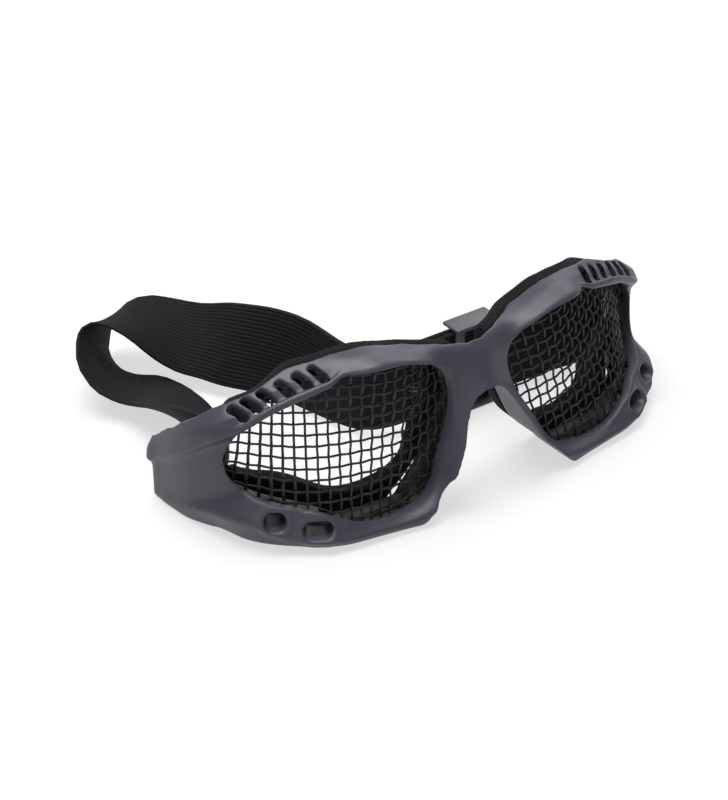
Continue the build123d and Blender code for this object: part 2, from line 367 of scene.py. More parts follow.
@dataclass(frozen=True)
class MouldedThermoplastic:
    """Soft injection-moulded thermoplastic with a fine spark-eroded grain. It gives the eye a
    satin skin with broad highlights, mottled in slightly lighter patches. Skin marked inside is
    painted near black: painted shade in the eye cups behind the lenses."""

    name: str
    colour: str
    mottle: str
    # Painted shade: the near-black colour painted on the eye cups' inner walls behind the lenses, where
    # shade falls.
    inside: str = "#101012"
    roughness: float = 0.42
    cloud: float = 22 * MM
    grain: float = 0.6 * MM
    grain_depth: float = 0.04 * MM

    def build(self) -> Any:
        """Builds the material.

        Returns:
            The finished material.
        """
        material, tree = blank_material(self.name)
        where = add_node(tree, "ShaderNodeTexCoord").outputs["Object"]
        cloud = add_node(tree, "ShaderNodeTexNoise", {
            "Vector": where, "Scale": 1 / self.cloud, "Detail": 4.0,
        })
        patches = add_node(tree, "ShaderNodeMapRange", {
            "Value": cloud.outputs["Fac"], "From Min": 0.35, "From Max": 0.75, "To Max": 0.5,
        })
        outside = add_node(tree, "ShaderNodeMix", {
            0: patches.outputs[0], 6: linear(self.colour), 7: linear(self.mottle),
        }, data_type="RGBA")
        # Painted shade: the inside attribute paints the eye cups' inner walls near black.
        cup_shade = add_node(tree, "ShaderNodeAttribute", attribute_name="inside")
        colour = add_node(tree, "ShaderNodeMix", {
            0: cup_shade.outputs["Fac"], 6: outside.outputs[2], 7: linear(self.inside),
        }, data_type="RGBA")
        gloss = add_node(tree, "ShaderNodeMapRange", {
            "Value": cloud.outputs["Fac"], "To Min": self.roughness - 0.05, "To Max": self.roughness + 0.07,
        })
        fine = add_node(tree, "ShaderNodeTexNoise", {
            "Vector": where, "Scale": 1 / self.grain, "Detail": 2.0,
        })
        bump = add_node(tree, "ShaderNodeBump", {
            "Height": fine.outputs["Fac"], "Strength": 0.6, "Distance": self.grain_depth,
        })
        shader = add_node(tree, "ShaderNodeBsdfPrincipled", {
            "Base Color": colour.outputs[2], "Roughness": gloss.outputs[0], "Normal": bump.outputs[0],
            "IOR": 1.49,
        })
        add_node(tree, "ShaderNodeOutputMaterial", {"Surface": shader.outputs[0]})
        return material


@dataclass(frozen=True)
class CoatedWire:
    """Woven steel wire with a baked black powder coat. It gives the eye near-black wires with
    a soft grey gleam on their crowns."""

    name: str = "powder_coated_steel_wire"
    colour: str = "#131314"
    worn: str = "#2c2b2a"
    roughness: float = 0.5
    fleck: float = 1.4 * MM

    def build(self) -> Any:
        """Builds the material.

        Returns:
            The finished material.
        """
        material, tree = blank_material(self.name)
        where = add_node(tree, "ShaderNodeTexCoord").outputs["Object"]
        fleck = add_node(tree, "ShaderNodeTexNoise", {
            "Vector": where, "Scale": 1 / self.fleck, "Detail": 5.0,
        })
        chips = add_node(tree, "ShaderNodeMapRange", {
            "Value": fleck.outputs["Fac"], "From Min": 0.56, "From Max": 0.72,
        })
        colour = add_node(tree, "ShaderNodeMix", {
            0: chips.outputs[0], 6: linear(self.colour), 7: linear(self.worn),
        }, data_type="RGBA")
        bump = add_node(tree, "ShaderNodeBump", {
            "Height": fleck.outputs["Fac"], "Strength": 0.4, "Distance": 0.06 * MM,
        })
        shader = add_node(tree, "ShaderNodeBsdfPrincipled", {
            "Base Color": colour.outputs[2], "Roughness": self.roughness, "Normal": bump.outputs[0],
            "IOR": 1.5,
        })
        add_node(tree, "ShaderNodeOutputMaterial", {"Surface": shader.outputs[0]})
        return material


@dataclass(frozen=True)
class OpenCellFoam:
    """Black open-cell polyurethane foam with a cut skin. It gives the eye a deep matte black
    broken by fine pores."""

    name: str = "open_cell_foam"
    colour: str = "#0e0e0f"
    pore_colour: str = "#050505"
    pore: float = 0.7 * MM

    def build(self) -> Any:
        """Builds the material.

        Returns:
            The finished material.
        """
        material, tree = blank_material(self.name)
        where = add_node(tree, "ShaderNodeTexCoord").outputs["Object"]
        cells = add_node(tree, "ShaderNodeTexVoronoi", {"Vector": where, "Scale": 1 / self.pore})
        walls = add_node(tree, "ShaderNodeMapRange", {
            "Value": cells.outputs["Distance"], "From Min": 0.1, "From Max": 0.55,
        })
        colour = add_node(tree, "ShaderNodeMix", {
            0: walls.outputs[0], 6: linear(self.pore_colour), 7: linear(self.colour),
        }, data_type="RGBA")
        bump = add_node(tree, "ShaderNodeBump", {
            "Height": walls.outputs[0], "Strength": 0.8, "Distance": 0.3 * MM,
        })
        shader = add_node(tree, "ShaderNodeBsdfPrincipled", {
            "Base Color": colour.outputs[2], "Roughness": 0.95, "Normal": bump.outputs[0],
            "Sheen Weight": 0.05, "Sheen Roughness": 0.5, "Specular IOR Level": 0.2,
        })
        add_node(tree, "ShaderNodeOutputMaterial", {"Surface": shader.outputs[0]})
        return material


@dataclass(frozen=True)
class ElasticWebbing:
    """Knitted polyester elastic. It gives the eye a blue-black cloth with fine lengthwise ribs
    crossed by the picks, with painted shade in the weave's hollows and a painted highlight along
    its bound edges. The pattern follows the band's map, in metres: along it and across it."""

    name: str = "elastic_webbing"
    colour: str = "#0d0e12"
    # Painted shade: the darker colour laid in the weave's hollows.
    painted_hollow_shade: str = "#050507"
    # Painted highlight: the lighter colour laid along the rounded bound edges.
    edge: str = "#19191e"
    width: float = 25 * MM
    rib: float = 1.15 * MM
    pick_pitch: float = 0.85 * MM
    edge_highlight_width: float = 1.1 * MM
    lint_size: float = 9 * MM

    def build(self) -> Any:
        """Builds the material.

        Returns:
            The finished material.
        """
        material, tree = blank_material(self.name)
        band = add_node(tree, "ShaderNodeUVMap", uv_map="band").outputs[0]
        split = add_node(tree, "ShaderNodeSeparateXYZ", {0: band})
        along, across = split.outputs[0], split.outputs[1]
        ribs = self.ripple(tree, across, self.rib)
        picks = self.ripple(tree, along, self.pick_pitch)
        weave = add_node(tree, "ShaderNodeMath", {0: ribs, 1: picks}, operation="MULTIPLY")
        height = add_node(tree, "ShaderNodeMath", {0: weave.outputs[0], 1: ribs}, operation="ADD")
        offset = add_node(tree, "ShaderNodeMath", {0: across}, operation="ABSOLUTE")
        # Painted highlight: the band is painted lighter towards its bound edges.
        bound = add_node(tree, "ShaderNodeMapRange", {
            "Value": offset.outputs[0],
            "From Min": self.width / 2 - self.edge_highlight_width, "From Max": self.width / 2,
        })
        where = add_node(tree, "ShaderNodeTexCoord").outputs["Object"]
        lint = add_node(tree, "ShaderNodeTexNoise", {
            "Vector": where, "Scale": 1 / self.lint_size, "Detail": 5.0,
        })
        shade_of = add_node(tree, "ShaderNodeMapRange", {
            "Value": lint.outputs["Fac"], "From Min": 0.3, "From Max": 0.7,
        })
        # Painted shade: the weave's hollows are painted darker than its crowns.
        cloth = add_node(tree, "ShaderNodeMix", {
            0: weave.outputs[0], 6: linear(self.painted_hollow_shade), 7: linear(self.colour),
        }, data_type="RGBA")
        tone = add_node(tree, "ShaderNodeMix", {
            0: shade_of.outputs[0], 6: cloth.outputs[2], 7: linear(self.colour),
        }, data_type="RGBA")
        # The painted highlight along the bound edges is mixed in here.
        colour = add_node(tree, "ShaderNodeMix", {
            0: bound.outputs[0], 6: tone.outputs[2], 7: linear(self.edge),
        }, data_type="RGBA")
        bump = add_node(tree, "ShaderNodeBump", {
            "Height": height.outputs[0], "Strength": 0.7, "Distance": 0.18 * MM,
        })
        shader = add_node(tree, "ShaderNodeBsdfPrincipled", {
            "Base Color": colour.outputs[2], "Roughness": 0.82, "Normal": bump.outputs[0],
            "Sheen Weight": 0.06, "Sheen Roughness": 0.4, "Sheen Tint": linear("#6f7390"),
            "Specular IOR Level": 0.25,
        })
        add_node(tree, "ShaderNodeOutputMaterial", {"Surface": shader.outputs[0]})
        return material

    @staticmethod
    def ripple(tree: Any, distance: Any, pitch: float) -> Any:
        """Makes an even ripple of one pitch along a distance.

        Args:
            tree: the node tree.
            distance: the socket that gives the distance in metres.
            pitch: the ripple's pitch in metres.

        Returns:
            A socket that runs from nought to one and back in each pitch.
        """
        turns = add_node(tree, "ShaderNodeMath", {0: distance, 1: math.tau / pitch}, operation="MULTIPLY")
        wave = add_node(tree, "ShaderNodeMath", {0: turns.outputs[0]}, operation="SINE")
        lifted = add_node(tree, "ShaderNodeMath", {
            0: wave.outputs[0], 1: 0.5, 2: 0.5,
        }, operation="MULTIPLY_ADD")
        return lifted.outputs[0]


@dataclass(frozen=True)
class PaleTable:
    """Matte white board. It gives the eye a plain pale ground that keeps a faint shadow, and
    reads as white where the camera or a reflection sees it."""

    name: str = "pale_table"
    colour: str = "#e9e9e9"
    lift: float = 0.62

    def build(self) -> Any:
        """Builds the material.

        Returns:
            The finished material.
        """
        material, tree = blank_material(self.name)
        board = add_node(tree, "ShaderNodeBsdfDiffuse", {"Color": linear(self.colour)})
        white = add_node(tree, "ShaderNodeEmission", {"Color": (1, 1, 1, 1), "Strength": 1.0})
        path = add_node(tree, "ShaderNodeLightPath")
        seen = add_node(tree, "ShaderNodeMath", {
            0: path.outputs["Is Camera Ray"], 1: path.outputs["Is Glossy Ray"],
        }, operation="MAXIMUM")
        share = add_node(tree, "ShaderNodeMath", {0: seen.outputs[0], 1: self.lift}, operation="MULTIPLY")
        both = add_node(tree, "ShaderNodeMixShader", {
            0: share.outputs[0], 1: board.outputs[0], 2: white.outputs[0],
        })
        add_node(tree, "ShaderNodeOutputMaterial", {"Surface": both.outputs[0]})
        return material


# Sub-assemblies


@dataclass
class MouldedFrame:
    """The soft moulded frame, with sills under its brow vents and lips round its lower ones."""

    node: Any
    lenses: tuple[Any, Any]
    finish: Any
    voxel: float = 0.5 * MM
    passes: int = 2
    fairing_passes: int = 40
    fairing_most: float = 0.9 * MM
    brow_vents: tuple[tuple[float, float, float], ...] = (
        (45.2, -43.18, 44.92), (49.43, -42.03, 43.8), (53.9, -40.72, 42.59), (58.6, -39.03, 40.9),
        (62.52, -37.56, 39.11), (65.99, -36.48, 37.32),
    )
    vent_heading: tuple[float, float, float] = (-0.266, -0.917, -0.294)
    sill_reach: float = 4.0 * MM
    sill_drop: float = 1.3 * MM
    sill_merge: tuple[float, float, float] = (0.0, 0.9 * MM, 1.2 * MM)
    sill_radius: float = 1.3 * MM
    lip_height: float = 0.35 * MM
    lip_reach: float = 0.8 * MM
    lip_place: float = 0.9 * MM
    vent_turn: float = math.radians(30)
    vents: tuple[tuple[tuple[float, float, float], float, float], ...] = (
        ((55.9 * MM, -57.6 * MM, 6.4 * MM), 8.0 * MM, 4.2 * MM),
        ((63.8 * MM, -49.0 * MM, 8.8 * MM), 6.0 * MM, 4.2 * MM),
    )

    def build(self) -> Any:
        """Builds the frame's skin.

        Returns:
            The finished piece.
        """
        piece = merged_copy(self.node, "frame_shell")
        rails = [self.vent_sill(side) for side in Side]
        piece = joined([piece, *rails], "frame_shell")
        remeshed(piece, self.voxel, self.passes)
        place(piece, self.faired(piece))
        place(piece, self.lipped(positions(piece)))
        # Paints the eye cups' inner walls behind the lenses near black, as painted shade.
        self.mark_painted_cup_shade(piece)
        shade(piece)
        dress(piece, self.finish)
        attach(piece, "root")
        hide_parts("frame")
        return piece

    def vent_sill(self, side: Side) -> Any:
        """Models the sill that closes the front ends of one row of brow vents.

        Args:
            side: the wearer's side.

        Returns:
            The sill, a round bar that is to melt into the rail.
        """
        heading = np.array(self.vent_heading)
        stops = np.array(self.brow_vents) * MM + heading * self.sill_reach - (0, 0, self.sill_drop)
        stops = np.vstack([2 * stops[0] - stops[1] + self.sill_merge, stops, 2 * stops[-1] - stops[-2]])
        places = np.linspace(0, len(stops) - 1, 30)
        path = np.stack([np.interp(places, np.arange(len(stops)), column) for column in stops.T], 1)
        path = path * np.array([side.value, 1, 1])
        piece = tube(f"vent_sill_{side.name.lower()}", 12, len(path))
        ring, turn = rings_of(piece)
        along = np.gradient(path, axis=0)
        along /= np.linalg.norm(along, axis=1)[:, None]
        across = np.cross(along, (0, 0, 1.0))
        across /= np.linalg.norm(across, axis=1)[:, None]
        over = np.cross(across, along)
        radius = self.sill_radius * np.sin(math.pi * (ring + 2) / (len(path) + 3)) ** 0.4
        place(piece, path[ring] + radius[:, None] * (
            across[ring] * np.cos(turn)[:, None] + over[ring] * np.sin(turn)[:, None]
        ))
        outward(piece)
        return piece

    def faired(self, piece: Any) -> np.ndarray:
        """Fairs the broad faces of the skin, and leaves the vents' edges as they are.

        Args:
            piece: the frame's skin.

        Returns:
            The moved vertices; the skin itself is moved on beyond them.
        """
        rows = positions(piece)
        apply_modifier(piece, "SMOOTH", factor=0.5, iterations=self.fairing_passes)
        move = positions(piece) - rows
        size = np.linalg.norm(move, axis=1)
        move *= (np.minimum(size, self.fairing_most) / np.maximum(size, 1e-9))[:, None]
        near = np.full(len(rows), 1.0)
        centres = [(centre, 3.2 * MM) for centre in np.array(self.brow_vents) * MM]
        centres += [(np.array(vent[0]), 5.0 * MM) for vent in self.vents]
        for side in Side:
            for centre, reach in centres:
                gap = np.linalg.norm(rows - centre * np.array([side.value, 1, 1]), axis=1)
                near = np.minimum(near, np.clip((gap - reach) / (2 * MM), 0.12, 1))
        return rows + move * near[:, None]

    def mark_painted_cup_shade(self, piece: Any) -> None:
        """Marks the skin of the eye cups behind the lenses for painted shade: the material paints it near
        black.

        Args:
            piece: the frame's skin.
        """
        rows = positions(piece)
        normals = np.empty(len(rows) * 3, np.float32)
        piece.data.vertices.foreach_get("normal", normals)
        normals = normals.reshape(-1, 3)
        mark = np.zeros(len(rows))
        for side, lens in zip(Side, self.lenses):
            surface = LensSurface(lens, side)
            out = np.clip(rows[:, 0] * side.value, 9 * MM, 70 * MM)
            depth = rows[:, 1] - surface.at(out, np.clip(rows[:, 2], 5 * MM, 45 * MM), 0 * out)[:, 1]
            centre = np.array([side.value * 38 * MM, -34 * MM, 25 * MM])
            toward = centre - rows
            toward /= np.linalg.norm(toward, axis=1)[:, None]
            faces = np.clip(((normals * toward).sum(1) - 0.05) / 0.25, 0, 1)
            behind = np.clip((depth + 1.2 * MM) / (1.0 * MM), 0, 1)
            mark = np.maximum(mark, faces * behind * (rows[:, 0] * side.value > 2 * MM))
        # This layer carries the painted shade of the eye cups.
        layer = piece.data.attributes.new("inside", "FLOAT", "POINT")
        layer.data.foreach_set("value", mark.astype(np.float32))

    def lipped(self, rows: np.ndarray) -> np.ndarray:
        """Raises the skin in a soft lip round each lower vent.

        Args:
            rows: the skin's vertices.

        Returns:
            The moved vertices.
        """
        out = np.array([math.sin(self.vent_turn), -math.cos(self.vent_turn), 0.0])
        level = np.array([math.cos(self.vent_turn), math.sin(self.vent_turn), 0.0])
        for side in Side:
            flip = np.array([side.value, 1, 1])
            for centre, length, width in self.vents:
                gap = rows * flip - np.array(centre)
                beside = np.maximum(np.abs(gap @ level) - (length - width) / 2, 0)
                ring = np.hypot(beside, gap[:, 2]) - width / 2 - self.lip_place
                rise = self.lip_height * np.exp(-(ring / self.lip_reach) ** 2)
                rise[(gap @ out) < -4 * MM] = 0
                rows = rows + rise[:, None] * out * flip
        rows[:, 2] = np.maximum(rows[:, 2], 0)
        return rows


@dataclass
class LensSurface:
    """The curved middle surface of a lens, smoothed from its CAD node."""

    node: Any
    side: Side
    across: float = 70 * MM
    tall: float = 48 * MM
    sideways_powers: int = 7
    upward_powers: int = 4
    step: float = 0.2 * MM
    weights: np.ndarray = field(init=False)

    def __post_init__(self) -> None:
        """Fits the surface to the node's vertices."""
        rows = positions(self.node)
        terms = self.terms(rows[:, 0] * self.side.value, rows[:, 2])
        self.weights = np.linalg.lstsq(terms, rows[:, 1], rcond=None)[0]

    def terms(self, out: np.ndarray, up: np.ndarray) -> np.ndarray:
        """Gives the powers that the surface is made of.

        Args:
            out: distances from the middle plane.
            up: heights.

        Returns:
            One row of powers for each place.
        """
        columns = [
            (out / self.across) ** first * (up / self.tall) ** second
            for first in range(self.sideways_powers) for second in range(self.upward_powers)
        ]
        return np.stack(columns, axis=-1)

    def at(self, out: np.ndarray, up: np.ndarray, lift: np.ndarray) -> np.ndarray:
        """Gives places on the surface, or off it along its normal.

        Args:
            out: distances from the middle plane.
            up: heights.
            lift: distances off the surface, towards the front.

        Returns:
            One row of three metres for each place.
        """
        step = self.step
        back = self.terms(out, up) @ self.weights
        lean = (self.terms(out + step, up) @ self.weights - back) / step
        rake = (self.terms(out, up + step) @ self.weights - back) / step
        normal = np.stack([lean, -np.ones_like(lean), rake], axis=-1)
        normal /= np.linalg.norm(normal, axis=1)[:, None]
        rows = np.stack([out, back, up], axis=-1) + normal * lift[:, None]
        return rows * np.array([self.side.value, 1, 1])

    def slope(self, out: float, up: float, run: Run) -> float:
        """Gives how steeply the surface runs back.

        Args:
            out: the distance from the middle plane.
            up: the height.
            run: level for the slope sideways, upright for the slope upwards.

        Returns:
            Metres back for each metre sideways or upwards.
        """
        step = self.step
        ends = [(out, up), (out + step, up) if run is Run.LEVEL else (out, up + step)]
        places = np.array(ends)
        near, far = self.terms(places[:, 0], places[:, 1]) @ self.weights
        return float(far - near) / step


@dataclass
class WovenLens:
    """One lens of plain-woven wire. One straight wire is modelled and copied, and each copy is
    cut to the opening, crimped over and under the others, and laid on the lens surface."""

    node: Any
    side: Side
    finish: Any
    skew: tuple[float, float] = (0.0, 0.0)
    wire: float = 0.62 * MM
    pitch: float = 3.0 * MM
    facets: int = 6
    rings_per_pitch: int = 6
    overlap: float = 0.85 * MM
    middle: tuple[float, float] = (38 * MM, 24 * MM)
    outline: Points = (
        (9.9, 31.5), (10.7, 27.4), (12.6, 22.7), (15.3, 18.2), (18.1, 12.5), (22.2, 7.2), (31.7, 4.4),
        (43.1, 5.6), (55.4, 11.0), (62.8, 12.4), (67.6, 15.3), (69.7, 19.4), (69.9, 23.2), (67.6, 28.7),
        (59.8, 35.9), (51.4, 40.6), (41.7, 43.4), (32.8, 44.9), (24.8, 44.1), (17.2, 41.5), (12.3, 38.0),
    )

    def build(self) -> Any:
        """Builds the lens.

        Returns:
            The finished piece.
        """
        surface = LensSurface(self.node, self.side)
        border = self.border()
        templates = {rings: tube(f"wire_{rings}", self.facets, rings) for rings in range(20, 201, 20)}
        wires = []
        columns = self.stops(surface, Run.LEVEL)
        rows = self.stops(surface, Run.UPRIGHT)
        for run, own, other in ((Run.UPRIGHT, columns, rows), (Run.LEVEL, rows, columns)):
            for index, stop in enumerate(own):
                reach = self.crossing(border, stop, run)
                if reach is not None:
                    wires.append(self.laid(templates, surface, run, index, stop, reach, other))
        for template in templates.values():
            bpy.data.objects.remove(template)
        piece = joined(wires, f"woven_lens_{self.side.name.lower()}")
        outward(piece)
        shade(piece, 60)
        dress(piece, self.finish)
        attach(piece, "root")
        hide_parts(self.node.name)
        return piece

    def border(self) -> np.ndarray:
        """Gives the opening's outline, rounded and let into the groove.

        Returns:
            One row of sideways and upward metres for each place of the closed outline.
        """
        corners = np.array(self.outline) * MM
        before, after = np.roll(corners, 1, 0), np.roll(corners, -1, 0)
        beyond = np.roll(corners, -2, 0)
        rounded = []
        for share in np.linspace(0, 1, 8, endpoint=False):
            square, cube = share**2, share**3
            ease = 3 * square - 2 * cube
            rounded.append(
                corners + (after - corners) * ease
                + (after - before) / 2 * (cube - 2 * square + share)
                + (beyond - corners) / 2 * (cube - square)
            )
        path = np.stack(rounded, 1).reshape(-1, 2)
        heading = np.roll(path, -1, 0) - np.roll(path, 1, 0)
        heading /= np.linalg.norm(heading, axis=1)[:, None]
        path = path + np.stack([heading[:, 1], -heading[:, 0]], 1) * self.overlap
        return np.array(self.middle) + (path - self.middle) @ np.linalg.inv(self.cloth).T

    @property
    def cloth(self) -> np.ndarray:
        """Gives the turn and shear of the cloth as it was cut and formed."""
        lean, rise = self.skew
        return np.array([[1.0, lean], [rise, 1.0]])

    def stops(self, surface: LensSurface, run: Run) -> list[float]:
        """Spaces the wires evenly over the curved surface.

        Args:
            surface: the lens surface.
            run: the way to go along, level for the upright wires.

        Returns:
            The sideways distance or height of each wire.
        """
        middle = self.middle
        low, high = (2 * MM, 78 * MM) if run is Run.LEVEL else (-8 * MM, 56 * MM)
        stop, found, walked, step = low, [], 0.0, 0.05 * MM
        while stop < high:
            spot = (stop, middle[1]) if run is Run.LEVEL else (middle[0], stop)
            spot = (min(max(spot[0], 9 * MM), 70 * MM), min(max(spot[1], 4 * MM), 45 * MM))
            walked += step * math.hypot(1, surface.slope(*spot, run))
            if walked >= self.pitch * (len(found) + 0.5):
                found.append(stop)
            stop += step
        return found

    def crossing(self, border: np.ndarray, stop: float, run: Run) -> tuple[float, float] | None:
        """Finds where a wire's line enters and leaves the outline.

        Args:
            border: the closed outline.
            stop: the wire's sideways distance or height.
            run: the way that the wire runs.

        Returns:
            The two ends along the wire, or nothing where it misses or is too short.
        """
        fixed, free = (0, 1) if run is Run.UPRIGHT else (1, 0)
        near, far = border, np.roll(border, -1, 0)
        cuts = (near[:, fixed] - stop) * (far[:, fixed] - stop) < 0
        if not cuts.any():
            return None
        share = (stop - near[cuts, fixed]) / (far[cuts, fixed] - near[cuts, fixed])
        meets = near[cuts, free] + share * (far[cuts, free] - near[cuts, free])
        low, high = float(meets.min()), float(meets.max())
        return (low, high) if high - low > 2 * self.wire else None

    def laid(
        self, templates: dict[int, Any], surface: LensSurface, run: Run, index: int, stop: float,
        reach: tuple[float, float], others: list[float],
    ) -> Any:
        """Copies the straight wire that is long enough, crimps it and lays it on the lens.

        Args:
            templates: straight wires by their number of rings.
            surface: the lens surface.
            run: the way that the wire runs.
            index: the wire's number among its own kind.
            stop: its sideways distance or height.
            reach: its two ends.
            others: the places of the wires that it crosses.

        Returns:
            The laid wire.
        """
        need = (reach[1] - reach[0]) / self.pitch * self.rings_per_pitch
        rings = next(count for count in templates if count >= need or count == max(templates))
        wire = copied(templates[rings], f"wire_{run.name.lower()}_{index}")
        ring, turn = rings_of(wire)
        along = reach[0] + (reach[1] - reach[0]) * ring / (rings - 1)
        beside = self.wire / 2 * np.cos(turn)
        steps = np.interp(along, others, np.arange(len(others)))
        over = 1 if run is Run.UPRIGHT else -1
        lift = over * self.wire / 2 * np.cos(math.pi * (steps + index)) + self.wire / 2 * np.sin(turn)
        flat = np.stack([stop + beside, along] if run is Run.UPRIGHT else [along, stop + beside], 1)
        spread = np.array(self.middle) + (flat - self.middle) @ self.cloth.T
        place(wire, surface.at(spread[:, 0], spread[:, 1], lift))
        return wire


@dataclass
class FoamLiner:
    """One foam liner, a soft ring behind an eye cup, crowned and slightly uneven."""

    node: Any
    side: Side
    finish: Any
    voxel: float = 0.8 * MM
    passes: int = 4
    unevenness: float = 0.25 * MM
    waviness: float = 7 * MM
    seat: float = 2.2 * MM
    nose_end: float = 28 * MM
    nose_fade: float = 7 * MM
    brow_end: float = 32 * MM
    brow_fade: float = 8 * MM
    rear_end: float = -36 * MM
    rear_fade: float = 6 * MM

    def build(self) -> Any:
        """Builds the liner.

        Returns:
            The finished piece.
        """
        piece = merged_copy(self.node, f"foam_liner_{self.side.name.lower()}")
        remeshed(piece, self.voxel, self.passes)
        rows = positions(piece)
        normals = np.array([vertex.normal[:] for vertex in piece.data.vertices])
        swell = np.array([noise.noise(Vector(row) / self.waviness) for row in rows])
        place(piece, self.seated(rows + normals * (swell[:, None] - 0.5) * self.unevenness))
        shade(piece)
        dress(piece, self.finish)
        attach(piece, "root")
        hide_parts(self.node.name)
        return piece

    def seated(self, rows: np.ndarray) -> np.ndarray:
        """Seats the liner's nose side against the rim that it is glued to.

        Args:
            rows: the liner's vertices.

        Returns:
            The moved vertices.
        """
        share = np.clip((self.nose_end - np.abs(rows[:, 0])) / self.nose_fade, 0, 1)
        share *= np.clip((self.brow_end - rows[:, 2]) / self.brow_fade, 0, 1)
        share *= np.clip((self.rear_end - rows[:, 1]) / self.rear_fade, 0, 1)
        share = share * share * (3 - 2 * share)
        return rows - share[:, None] * np.array([self.side.value * self.seat, 0, 0])


@dataclass
class ElasticStrap:
    """The elastic strap: sewn round the right post, looped on the table with a half turn, run
    behind the bridge and round the left post, and laid back through the slider."""

    finish: Any
    thread_finish: Any
    width: float = 25 * MM
    thickness: float = 1.5 * MM
    middle_height: float = 14.3 * MM
    post_across: float = 68 * MM
    post_back: float = -22.0 * MM
    loop_radius: float = 2.8 * MM
    layer_gap: float = 1.0 * MM
    tail_end: float = 3.0 * MM
    step: float = 1.0 * MM
    settling: int = 6
    section_points: int = 36
    stations: Stations = (
        ((-65.4, -23.0, 26.8), (-65.4, -23.0, 1.8)), ((-66.0, -9.5, 24.4), (-58.8, -15.8, 1.4)),
        ((-65.1, 1.6, 19.8), (-51.4, -7.8, 1.05)), ((-64.0, 10.8, 14.7), (-44.8, 2.5, 1.0)),
        ((-63.1, 18.3, 10.6), (-40.3, 15.1, 1.05)), ((-63.1, 24.5, 7.8), (-39.4, 29.1, 1.4)),
        ((-64.4, 29.8, 6.7), (-42.4, 40.5, 1.7)), ((-68.0, 35.0, 9.0), (-47.0, 45.8, 0.9)),
        ((-68.8, 42.6, 14.0), (-49.3, 50.8, 0.8)), ((-65.1, 48.7, 18.6), (-49.3, 56.5, 0.9)),
        ((-61.0, 51.3, 20.3), (-47.4, 63.6, 3.3)), ((-57.5, 47.2, 21.4), (-42.3, 64.8, 12.1)),
        ((-52.2, 42.4, 17.5), (-35.6, 61.0, 17.1)), ((-47.3, 38.4, 11.3), (-29.3, 54.8, 17.0)),
        ((-41.8, 34.4, 6.3), (-23.3, 47.9, 16.4)), ((-36.9, 29.4, 4.7), (-19.3, 39.5, 19.2)),
        ((-33.5, 22.8, 4.05), (-18.6, 30.2, 22.8)), ((-27.3, 15.7, 3.2), (-15.6, 21.0, 24.7)),
        ((-21.7, 8.4, 2.15), (-12.8, 11.3, 25.3)), ((-18.4, -0.1, 1.5), (-12.5, 1.3, 25.6)),
        ((-15.9, -9.4, 1.5), (-12.9, -8.1, 26.2)), ((-12.1, -17.7, 1.7), (-11.1, -16.8, 26.6)),
        ((-4.0, -21.0, 1.8), (-4.0, -21.0, 26.8)),
    )
    frays: Points = ((24.0, 5.5), (19.5, 3.5), (14.0, 4.5), (8.0, 3.0), (26.0, 7.0))
    fray_root: float = 0.11 * MM
    fray_tip: float = 0.05 * MM
    fray_seed: int = 11

    def build(self) -> Any:
        """Builds the strap.

        Returns:
            The finished piece.
        """
        piece = self.band("elastic_strap", self.route())
        shade(piece, 60)
        dress(piece, self.finish)
        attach(piece, "root")
        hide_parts("strap")
        return piece

    def threads(self) -> Any:
        """Builds the loose threads at the strap's cut end.

        Returns:
            The finished piece.
        """
        draw = random.Random(self.fray_seed)
        strands = []
        for index, (up, length) in enumerate(self.frays * 3):
            deselect()
            bpy.ops.mesh.primitive_cone_add(
                vertices=6, radius1=self.fray_root, radius2=self.fray_tip, depth=length * MM,
                rotation=(draw.uniform(-0.5, 0.5), -math.pi / 2 + draw.uniform(-0.6, 0.6), 0),
            )
            strand = bpy.context.object
            strand.location = (
                self.tail_end - 0.4 * length * MM,
                self.post_back - self.layer_gap + draw.uniform(-0.5, 0.5) * MM,
                up * MM + draw.uniform(-2, 0.5) * MM,
            )
            strands.append(settle(named(f"strand_{index}")))
        piece = joined(strands, "strap_frays")
        shade(piece, 60)
        dress(piece, self.thread_finish)
        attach(piece, "root")
        return piece

    def route(self) -> tuple[np.ndarray, np.ndarray]:
        """Gives the strap's middle line and the way from its first edge to its second.

        Returns:
            Evenly spaced places on the middle line, and a unit row for each.
        """
        first = self.drawn(np.array([row[0] for row in self.stations]) * MM)
        second = self.drawn(np.array([row[1] for row in self.stations]) * MM)
        lead, lead_across = self.sewn_lead()
        tail = self.run_and_tail()
        middle = np.vstack([lead, (first + second) / 2, tail])
        across = np.vstack([lead_across, second - first, np.tile((0.0, 0.0, self.width), (len(tail), 1))])
        walked = np.concatenate([[0], np.cumsum(np.linalg.norm(np.diff(middle, axis=0), axis=1))])
        even = np.linspace(0, walked[-1], round(walked[-1] / self.step) + 1)
        rows = np.hstack([middle, across])
        spread = np.stack([np.interp(even, walked, column) for column in rows.T], 1)
        for _ in range(self.settling):
            spread[1:-1] += (spread[:-2] + spread[2:] - 2 * spread[1:-1]) / 4
        across = spread[:, 3:]
        return spread[:, :3], across / np.linalg.norm(across, axis=1)[:, None]

    @staticmethod
    def drawn(rows: np.ndarray) -> np.ndarray:
        """Draws a smooth line through the stations of one rim.

        Args:
            rows: the stations.

        Returns:
            The fine line.
        """
        slopes = np.gradient(rows, axis=0)
        fine = []
        for index in range(len(rows) - 1):
            for share in np.linspace(0, 1, 10, endpoint=False):
                square, cube = share**2, share**3
                ease = 3 * square - 2 * cube
                fine.append(
                    rows[index] * (1 - ease) + rows[index + 1] * ease
                    + slopes[index] * (cube - 2 * square + share) + slopes[index + 1] * (cube - square)
                )
        return np.array(fine + [rows[-1]])

